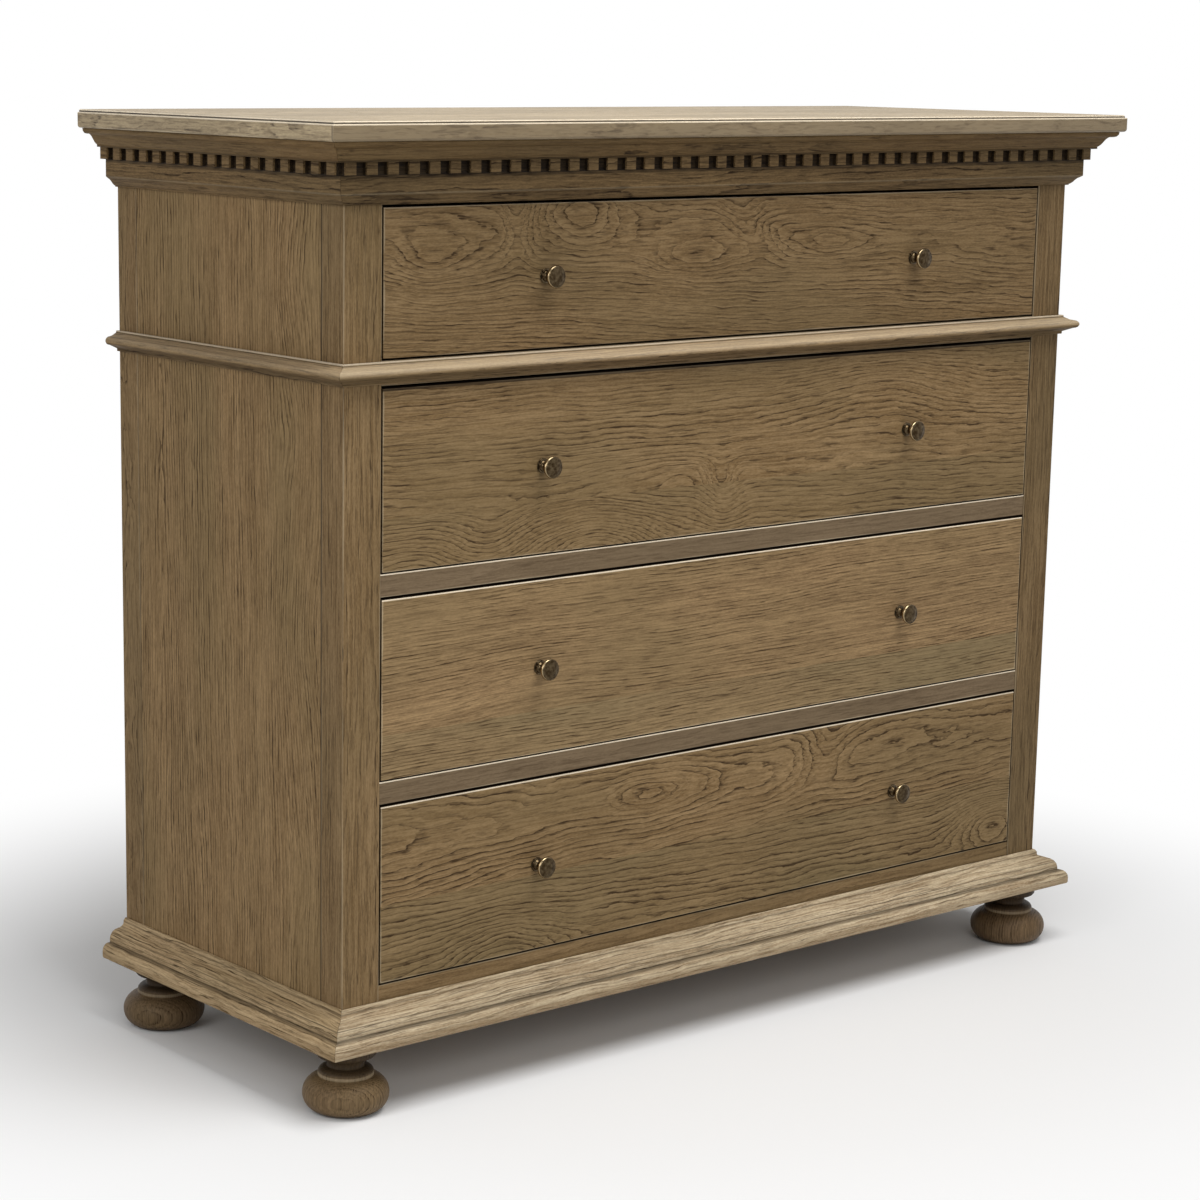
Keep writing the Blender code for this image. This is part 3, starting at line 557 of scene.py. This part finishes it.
for hand, outward in (("left", -1), ("right", 1)):
    post = f"post_front_{hand}"
    low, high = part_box(post)
    inner_face = low.x if outward == 1 else high.x
    # Painted shade on the post's inner face beside the drawers, where it looks into the gaps.
    beside_drawers = shaded_in_gap("x", inner_face, ("y", case_front + 0.0012, case_front + 0.03))
    joint = line("y", high.y, 0.0007, oak_grime_and_shade, 0.7)
    # The right front post is toned darker than the left: painted shade.
    dressed(post, oak(f"{post}_oak", "zxy", centre(post), 12 + outward, heart=(0.06, 0.10), ring=0.0034,
                      taper=0.004, waver=0.005, figure=0.6, grain=1.1, box=(low, high), rub=0.32,
                      tone=0.76 - 0.07 * outward, marks=[beside_drawers, joint]))
    rear_post = f"post_rear_{hand}"
    dressed(rear_post, oak(f"{rear_post}_oak", "zyx", centre(rear_post), 15 + outward,
                           heart=(0.004, 0.03 * outward), ring=0.0050, taper=0.02, wander=0.016, waver=0.022,
                           figure=0.7, box=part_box(rear_post), rub=0.25, tone=0.93))
    panel = f"side_panel_{hand}"
    joints = [line("y", edge, 0.0014, oak_grime_and_shade, 0.7) for edge in (high.y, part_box(rear_post)[0].y)]
    dressed(panel, oak(f"{panel}_oak", "zyx", centre(panel), 20 + outward, heart=(0.130, 0.03 * outward),
                       ring=0.0050, taper=0.020, wander=0.010, waver=0.007, figure=1.0, grain=1.05,
                       swirls=panel_swirls, cloud=panel_cloud, marks=joints, tone=1.08), 0)
dressed("back_panel", oak("back_panel_oak", "zxy", centre("back_panel"), 24, body=inside_oak, light=inside_light,
                          tone=0.85, figure=0.6, taper=0.03))


# Rails: five rails across the front, each but the top one glued to its two runners. The two dividers
# are greyer and smoother than the drawers, and set back a little, with a pale upper arris that is partly
# wear and partly a painted highlight. Painted shade darkens the faces of each rail that look into the gaps.

rail_grey = tint(100, 83, 62)
rail_light = tint(122, 104, 81)
# A pale edge colour: partly wear, partly a painted highlight.
edge_wear_and_highlight = tint(226, 212, 188)


def in_the_gap(rail):
    """Painted shade on the faces of a rail above and below a drawer, where they look into the gaps."""
    low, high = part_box(rail)
    return [shaded_in_gap("z", level, ("y", low.y + 0.0002, low.y + 0.024)) for level in (low.z, high.z)]


rail_looks = dict(heart=(0.10, 0.06), taper=0.005, waver=0.005, grain=0.8)
for rail, seed in (("lower_divider_frame", 31), ("upper_divider_frame", 32)):
    low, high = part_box(rail)
    # The divider's upper arris: a pale line, partly wear and partly a painted highlight.
    upper_arris = ([("y", low.y - 0.0010, low.y + 0.0008), ("z", high.z - 0.0012, high.z + 0.0010)], 0.0003,
                   edge_wear_and_highlight, 1.2)
    dressed(rail, oak(f"{rail}_oak", "xzy", centre(rail), seed, body=rail_grey, light=rail_light, figure=0.2,
                      cloud=tint(106, 90, 68), box=(low, high), rub=0.6, marks=in_the_gap(rail) + [upper_arris],
                      **rail_looks))
for rail, seed in (("bottom_rail_frame", 30), ("waist_rail_frame", 33), ("top_rail", 34)):
    dressed(rail, oak(f"{rail}_oak", "xzy", centre(rail), seed, figure=0.5, tone=0.83, box=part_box(rail), rub=0.4,
                      marks=in_the_gap(rail), **rail_looks))
for hand in ("left", "right"):
    dressed(f"kicker_{hand}", oak(f"kicker_{hand}_oak", "yzx", centre(f"kicker_{hand}"), 36, body=inside_oak,
                                  light=inside_light, figure=0.6))


# Waist moulding: a nosing in three mitred lengths glued to the posts and the rail under the top
# drawer. Its nose and upper arris are pale, partly wear and partly a painted highlight that is stronger
# on the front; the hollow below it and the quirk above the nose are darkened with painted shade.

waist_hollow, waist_nose, waist_quirk, waist_arris = (
    (0.7853, 0.7952), (0.7975, 0.8060), (0.8061, 0.8069), (0.8072, 0.8088))
waist_marks = [band(waist_hollow, 0.0016, oak_grime_and_shade, 0.42), band(waist_quirk, 0.0003, oak_grime_and_shade, 0.7),
               band(waist_arris, 0.0004, edge_wear_and_highlight, 0.6)]
# The nose's pale colour, and worn, its strength: partly wear, partly a painted highlight, stronger on the front.
nose_wear_and_highlight = tint(232, 212, 180)
for hand, axes, seed, worn in (("front", "xzy", 40, 0.36), ("left", "yzx", 41, 0.2), ("right", "yzx", 42, 0.2)):
    dressed(f"waist_moulding_{hand}", oak(f"waist_{hand}_oak", axes, centre(f"waist_moulding_{hand}"), seed,
                                          heart=(0.04, 0.05), taper=0.008, waver=0.006, grain=1.2,
                                          marks=[band(waist_nose, 0.0030, nose_wear_and_highlight, worn)] + waist_marks))


# Cornice: a frieze whose upper edge is cut into dentils, and a crown moulding above them. The
# notches, the feet of the dentils and the hollow at the foot of the crown are darkened with painted shade.

case_half = 0.55
notch_depth = 0.0195
notch_floors = {"front": ("y", case_front - notch_depth, case_front),
                "left": ("x", -case_half - notch_depth, -case_half),
                "right": ("x", case_half, case_half + notch_depth)}
toe_curve, dentil_feet, notches, crown_foot = (
    (0.9795, 0.9813), (0.9960, 1.0002), (0.9990, 1.0140), (1.0132, 1.0150))
cornice_looks = dict(heart=(0.05, 0.06), taper=0.008, waver=0.006)
for hand, axes, seed in (("front", "xzy", 50), ("left", "yzx", 52), ("right", "yzx", 54)):
    frieze = f"frieze_{hand}"
    # Painted shade in the notches and at the dentils' feet.
    frieze_marks = [band(toe_curve, 0.001, oak_rubbed, 0.3),
                    ([("z", *notches), notch_floors[hand]], 0.0006, oak_grime_and_shade, 0.97),
                    band(dentil_feet, 0.0008, oak_grime_and_shade, 0.5)]
    dressed(frieze, oak(f"{frieze}_oak", axes, centre(frieze), seed, light=tint(164, 134, 92), grain=1.2,
                        tone=0.51 if hand == "front" else 0.57, marks=frieze_marks, **cornice_looks), 0)
    crown = f"cornice_moulding_{hand}"
    dressed(crown, oak(f"cornice_{hand}_oak", axes, centre(crown), seed + 1, body=tint(124, 94, 54),
                       light=tint(160, 130, 86), figure=0.5, tone=0.46 if hand == "front" else 0.57,
                       marks=[band(crown_foot, 0.001, oak_grime_and_shade, 0.6)], **cornice_looks), 0.0003)


# Top: a thick board laid on the case and its cornice, with a lipping round the front and sides that
# is mitred at the front corners. Its front edge is darker; a painted shadow lines the riser above its small
# ledge, and painted highlights, partly wear, run along the ledge and the top's upper arris.

top_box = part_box("top_board")
lip_width = 0.062
ledge, surface = 1.0515, top_box[1].z
front_edge = [("y", top_box[0].y - 0.002, top_box[0].y + 0.0021), ("z", 1.0340, ledge - 0.0012)]
riser, ledge_arris, crown_arris = (
    (ledge + 0.0001, ledge + 0.0016), (ledge - 0.0013, ledge + 0.0001), (ledge + 0.0018, surface - 0.0002))
# The riser band is a painted shadow; the ledge and upper arris bands are painted highlights, partly wear.
top_marks = [(front_edge, 0.0004, tint(94, 79, 56), 0.75), band(riser, 0.0002, oak_grime_and_shade, 0.95),
             band(ledge_arris, 0.0002, edge_wear_and_highlight, 0.75), band(crown_arris, 0.0002, edge_wear_and_highlight, 0.95)]
dressed("top_board", oak("top_board_oak", "xyz", centre("top_board"), 60, heart=(0.06, 0.06), ring=0.0070,
                         taper=0.02, waver=0.016, box=top_box, rub=0.5, lipping=lip_width,
                         body=tint(140, 120, 88), light=tint(196, 176, 140), figure=0.45, grain=1.3,
                         marks=top_marks, sheen=0.5, gloss=0.5), 0.0003)


# Drawers: fronts glued up from one or two boards of wide flat-sawn oak, each with its own figure,
# on boxes of plain oak.

front_cuts = {
    1: dict(heart=(0.034, 0.036), lean=-0.045, taper=-0.020, wander=0.009, waver=0.010, tone=0.79, figure=0.92,
            swirls=[(-0.440, 0.015, 0.060, 0.040, -0.017, 0.0), (-0.236, 0.100, 0.060, 0.060, -0.032, 0.0),
                    (-0.322, 0.070, 0.020, 0.060, 0.014, 0.0), (-0.080, 0.010, 0.065, 0.018, -0.011, 0.0),
                    (0.130, 0.026, 0.080, 0.022, -0.013, 0.0), (0.010, 0.050, 0.045, 0.030, 0.012, -0.6)]),
    2: dict(heart=(-0.052, 0.040), lean=-0.010, ring=0.0052, taper=0.012, wander=0.010, figure=0.92, tone=0.96,
            swirls=[(0.240, 0.050, 0.130, 0.055, -0.026, 0.0), (-0.080, -0.030, 0.110, 0.030, -0.014, 0.0),
                    (-0.020, -0.035, 0.024, 0.028, 0.018, 0.0)],
            lower=dict(below=-0.040, heart=(-0.150, 0.040), lean=-0.04, taper=0.012, cloud=oak_olive,
                       swirls=[(-0.200, -0.100, 0.085, 0.050, -0.042, 0.0),
                               (-0.36, -0.07, 0.045, 0.040, 0.016, 0.0),
                               (-0.015, -0.060, 0.030, 0.035, 0.018, 0.0),
                               (-0.46, -0.09, 0.06, 0.03, -0.012, 0.0)])),
    3: dict(heart=(0.22, 0.05), ring=0.0038, taper=0.010, wander=0.010, waver=0.003, figure=0.85, grain=1.15,
            body=tint(114, 91, 63), tone=1.13, swirls=[(-0.27, -0.02, 0.12, 0.05, 0.012, 0.0)],
            lower=dict(below=-0.049, heart=(0.25, 0.05), lean=0.0, taper=0.006, cloud=tint(112, 102, 74),
                       swirls=[])),
    4: dict(heart=(0.056, 0.034), ring=0.0056, taper=0.042, wander=0.008, waver=0.012, figure=1.3, grain=0.85,
            tone=0.97, swirls=[(-0.11, 0.056, 0.070, 0.024, -0.016, 0.0), (0.17, 0.070, 0.050, 0.045, 0.020, 0.5),
                               (-0.25, -0.02, 0.100, 0.060, 0.010, 0.0)],
            lower=dict(below=-0.012, heart=(-0.13, 0.05), lean=-0.02, taper=0.010, cloud=tint(106, 95, 66),
                       swirls=[(-0.335, -0.110, 0.080, 0.060, -0.034, 0.0),
                               (0.475, -0.062, 0.075, 0.036, -0.046, 0.0)])),
}
# How far down its face the upper arris of each front is painted, its colour and how strongly: a painted
# highlight, partly wear, on fronts 1, 3 and 4, and a painted shadow under the waist moulding on front 2.
upper_edges = {1: (0.0012, edge_wear_and_highlight, 0.1), 2: (0.0026, oak_grime_and_shade, 0.8), 3: (0.0012, edge_wear_and_highlight, 0.9),
               4: (0.0012, edge_wear_and_highlight, 0.9)}
for number, cut in front_cuts.items():
    front = f"drawer_{number}_front"
    low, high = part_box(front)
    # Painted shade on the faces of the front that look into the gaps above and beside it.
    behind = ("y", low.y + 0.0016, high.y + 0.002)
    front_marks = [shaded_in_gap(axis, level, behind) for axis, level in (("z", high.z), ("x", low.x), ("x", high.x))]
    deep, colour, strength = upper_edges[number]
    front_marks.append(([("z", high.z - deep, high.z + 0.0010), ("y", low.y - 0.001, low.y + 0.0012)], 0.0003,
                        colour, strength))
    dressed(front, oak(f"{front}_oak", "xzy", (0, low.y, (low.z + high.z) / 2), 70 + 3 * number, box=(low, high),
                       rub=0.35, marks=front_marks, **cut), 0.0008)
    for board, axes in (("side_left", "yzx"), ("side_right", "yzx"), ("back", "xzy"), ("bottom", "xyz")):
        name = f"drawer_{number}_{board}"
        dressed(name, oak(f"{name}_oak", axes, centre(name), 90 + 7 * number + len(board), heart=(0.07, 0.06),
                          body=inside_oak, light=inside_light, cloud=inside_oak, figure=0.6), 0)


# Knobs: cast brass, turned and darkened, and bright round the rim, partly wear and partly a painted
# highlight. A rose sits on the drawer front, and a stud goes through the front to a screw inside.


def curved(points, steps):
    """A smooth curve through the points of a profile."""
    curve = []
    for index in range(len(points) - 1):
        before = Vector(points[max(index - 1, 0)])
        first, second = Vector(points[index]), Vector(points[index + 1])
        after = Vector(points[min(index + 2, len(points) - 1)])
        for step in range(steps):
            t = step / steps
            spot = (2 * first + (second - before) * t + (2 * before - 5 * first + 4 * second - after) * t * t
                    + (3 * first - before - 3 * second + after) * t ** 3) / 2
            curve.append((max(spot.x, 0), spot.y))
    return curve + [tuple(points[-1])]


def row_of_fixings():
    """A tree that repeats a fixing from one place to another, each turned at random."""
    tree = bpy.data.node_groups.new("row_of_fixings", "GeometryNodeTree")
    tree.is_modifier = True
    for label, kind in (("Fixing", "Geometry"), ("Count", "Int"), ("First", "Vector"), ("Last", "Vector"),
                        ("Turn Seed", "Int"), ("Metal", "Material")):
        tree.interface.new_socket(label, in_out="INPUT", socket_type=f"NodeSocket{kind}")
    tree.interface.new_socket("Fixings", in_out="OUTPUT", socket_type="NodeSocketGeometry")
    entry = tree.nodes.new("NodeGroupInput")
    leave = tree.nodes.new("NodeGroupOutput")
    spots = tree.nodes.new("GeometryNodeMeshLine")
    spots.mode = "END_POINTS"
    turn = tree.nodes.new("FunctionNodeRandomValue")
    turn.data_type = "FLOAT_VECTOR"
    turn.inputs[0].default_value = (0, 0, 0)
    turn.inputs[1].default_value = (0, 2 * math.pi, 0)
    repeat = tree.nodes.new("GeometryNodeInstanceOnPoints")
    real = tree.nodes.new("GeometryNodeRealizeInstances")
    paint = tree.nodes.new("GeometryNodeSetMaterial")
    link = tree.links.new
    link(entry.outputs["Count"], spots.inputs["Count"])
    link(entry.outputs["First"], spots.inputs["Start Location"])
    link(entry.outputs["Last"], spots.inputs["Offset"])
    link(entry.outputs["Turn Seed"], turn.inputs["Seed"])
    link(spots.outputs["Mesh"], repeat.inputs["Points"])
    link(entry.outputs["Fixing"], repeat.inputs["Instance"])
    link(turn.outputs[0], repeat.inputs["Rotation"])
    link(repeat.outputs["Instances"], real.inputs["Geometry"])
    link(real.outputs["Geometry"], paint.inputs["Geometry"])
    link(entry.outputs["Metal"], paint.inputs["Material"])
    link(paint.outputs["Geometry"], leave.inputs["Fixings"])
    return tree


fixings_tree = row_of_fixings()


def fixings(name, mesh, count, first, last, seed, material):
    """A row of like fixings as one plain mesh."""
    carrier = bpy.data.objects.new(name + "_carrier", mesh)
    bpy.context.scene.collection.objects.link(carrier)
    row = carrier.modifiers.new("row", "NODES")
    row.node_group = fixings_tree
    given = {"Count": count, "First": first, "Last": last, "Turn Seed": seed, "Metal": material}
    for item in fixings_tree.interface.items_tree:
        if item.in_out == "INPUT" and item.name in given:
            row[item.identifier] = given[item.name]
    evaluated = carrier.evaluated_get(bpy.context.evaluated_depsgraph_get())
    baked = bpy.data.meshes.new_from_object(evaluated)
    bpy.data.objects.remove(carrier)
    return piece(name, baked, material)


knob_profile = [(0, 0.0211), (0.0040, 0.0210), (0.0078, 0.0206), (0.0086, 0.0203), (0.0090, 0.0201),
                (0.0096, 0.0202)]
knob_profile += sweep((0.0099, 0.0178), (0.0024, 0.0024), 1, -1, 14)
knob_profile += curved([(0.0096, 0.0153), (0.0076, 0.0139), (0.0050, 0.0120), (0.0038, 0.0100), (0.0038, 0.0075),
                        (0.0045, 0.0052), (0.0060, 0.0034)], 4)
knob_profile += [(0.0062, 0.0030), (0.0062, 0.0016), (0.0064, 0.0014), (0.0078, 0.0014), (0.0082, 0.0011),
                 (0.0082, 0.0003), (0.0024, 0.0003), (0.0024, -0.0190), (0, -0.0190)]
knob_mesh = lathe("knob", knob_profile, 64, "-Y")

girth = knob_mesh.attributes.new("girth", "FLOAT", "POINT")
for vertex in knob_mesh.vertices:
    girth.data[vertex.index].value = math.hypot(vertex.co.x, vertex.co.z)

brass = bpy.data.materials.new("antique_brass")
brass.use_nodes = True
brass_start = Shade(brass.node_tree)
brass_place = brass_start.node("ShaderNodeTexCoord", {}, {}, "Object")
patina = brass_place.noise((260, 260, 260), (3, 1, 7), 3.0)
specks = brass_place.noise((1400, 1400, 1400), (9, 4, 2), 2.0)
# The rim is brightened in the base colour: partly wear, partly a painted highlight.
rim_starts, rim_ends = 0.0110, 0.0122
rim = brass_start.node("ShaderNodeAttribute", {"attribute_name": "girth"}, {}, "Fac").ramp(rim_starts, rim_ends)
rubbed = patina.ramp(0.30, 0.75) * 0.12 + specks.ramp(0.5, 0.7) * 0.05 + rim * 0.62
dark_brass, bright_brass = tint(48, 36, 21), tint(202, 180, 142)
rubbed.least(1).mix(dark_brass, bright_brass).feeds("Principled BSDF", "Base Color")
(patina * 0.10 + specks * 0.05 + 0.13).feeds("Principled BSDF", "Roughness")
brass.node_tree.nodes["Principled BSDF"].inputs["Metallic"].default_value = 1

knob_spread = 0.2835
for number in front_cuts:
    low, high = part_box(f"drawer_{number}_front")
    level = (low.z + high.z) / 2
    knobs = fixings(f"drawer_{number}_knobs", knob_mesh, 2, (-knob_spread, low.y, level),
                    (knob_spread, low.y, level), number, brass)
    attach(knobs, f"drawer_{number}")
    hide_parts(f"drawer_{number}_knob_left", f"drawer_{number}_knob_right")


# Screws and pins: a slotted round-head screw on a washer holds each knob from inside the drawer,
# and two rows of brass pins hold the back panel in the rebates of the rear posts.

washer_and_head = [(0, 0.0032), (0.0018, 0.0031), (0.0032, 0.0026), (0.0040, 0.0018), (0.0042, 0.0011)]
washer_and_head += [(0.0042, 0.0009), (0.0060, 0.0009), (0.0063, 0.0007), (0.0063, 0.0003), (0, 0.0003)]
screw_mesh = lathe("screw", washer_and_head, 32, "Y")
slot_mesh = bpy.data.meshes.new("screw_slot")
slot_cut = bmesh.new()
slot_length, slot_depth, slot_width, head_top = 0.0100, 0.0024, 0.0009, 0.0032
slot_size = Matrix.Diagonal((slot_length, slot_depth, slot_width, 1))
bmesh.ops.create_cube(slot_cut, size=1.0, matrix=Matrix.Translation((0, head_top, 0)) @ slot_size)
slot_cut.to_mesh(slot_mesh)
slot_cut.free()
blank = bpy.data.objects.new("screw_blank", screw_mesh)
cutter = bpy.data.objects.new("screw_slot", slot_mesh)
for tool in (blank, cutter):
    bpy.context.scene.collection.objects.link(tool)
cut_slot = blank.modifiers.new("slot", "BOOLEAN")
cut_slot.operation = "DIFFERENCE"
cut_slot.solver = "EXACT"
cut_slot.object = cutter
slotted = bpy.data.meshes.new_from_object(blank.evaluated_get(bpy.context.evaluated_depsgraph_get()))
for tool in (blank, cutter):
    bpy.data.objects.remove(tool)

for number in front_cuts:
    low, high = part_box(f"drawer_{number}_front")
    level = (low.z + high.z) / 2
    screws = fixings(f"drawer_{number}_screws", slotted, 2, (-knob_spread, high.y, level),
                     (knob_spread, high.y, level), 20 + number, brass)
    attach(screws, f"drawer_{number}")

pin_profile = [(0, 0.0005), (0.0009, 0.00045), (0.0016, 0.0002), (0.0017, 0), (0.0006, 0), (0.0005, -0.006),
               (0, -0.0075)]
pin_mesh = lathe("pin", pin_profile, 16, "Y")
back_low, back_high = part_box("back_panel")
pin_line, pin_margin, pins_in_row = 0.5115, 0.03, 9
for hand, outward in (("left", -1), ("right", 1)):
    ends = back_low.z + pin_margin, back_high.z - pin_margin
    first, last = ((outward * pin_line, back_high.y, end) for end in ends)
    pins = fixings(f"back_pins_{hand}", pin_mesh, pins_in_row, first, last, 30 + outward, brass)
    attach(pins, "case")
